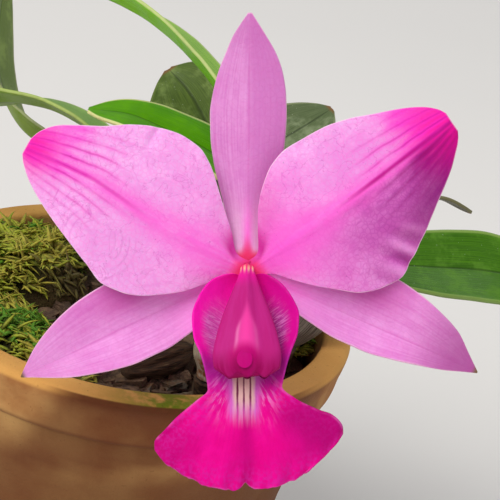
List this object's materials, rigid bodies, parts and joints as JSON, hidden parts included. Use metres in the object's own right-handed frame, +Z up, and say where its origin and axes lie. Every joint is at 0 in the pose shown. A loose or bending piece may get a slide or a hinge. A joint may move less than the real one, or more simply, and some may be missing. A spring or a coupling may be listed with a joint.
{
  "type": "potted cattleya orchid",
  "caption": "Small cattleya orchid in a round clay pot: creeping stem with ribbed bulbs and leathery leaves over bark and moss, with an open pink bloom on a leafless stem.",
  "frame": {"origin": "middle of the pot's base, on the surface that it stands on", "axes": "+Z up, -Y toward the viewer whom the bloom faces, +X to that viewer's right"},
  "size_m": [0.191, 0.177, 0.1841],
  "materials": {
    "clay": "unglazed, matte, weathered",
    "shards": "broken unglazed clay",
    "bark": "rough damp bark chips",
    "moss": "soft strands",
    "creeping_stem": "dry sheathed stem and roots",
    "bulb": "ribbed, with dry silvery sheath",
    "old_bulb": "shrivelled and dry",
    "leaf": "waxy, satin",
    "flower_stalk": "smooth green",
    "bract": "dry papery sheath",
    "petal": "soft, veined, faint sheen",
    "lip": "velvety magenta",
    "column": "waxy magenta"
  },
  "bodies": {
    "root": {"pot": "clay", "drainage_crocks": "shards", "bark_mix": "bark", "moss_back_left": "moss", "moss_front_left": "moss", "moss_right": "moss", "rhizome": "creeping_stem", "pseudobulb_1": "bulb", "pseudobulb_2": "bulb", "pseudobulb_3": "bulb", "pseudobulb_4": "bulb", "pseudobulb_5": "bulb", "pseudobulb_6": "bulb", "pseudobulb_7": "bulb", "old_pseudobulb": "old_bulb", "leaf_1": "leaf", "leaf_2": "leaf", "leaf_3": "leaf", "leaf_4": "leaf", "leaf_5": "leaf", "leaf_6": "leaf", "leaf_7": "leaf", "leaf_8": "leaf", "flower_stem": "flower_stalk", "flower_bract": "bract", "dorsal_sepal": "petal", "lateral_sepal_left": "petal", "lateral_sepal_right": "petal", "petal_left": "petal", "petal_right": "petal", "lip": "lip", "column": "column", "anther_cap": "column"}
  },
  "joints": []
}
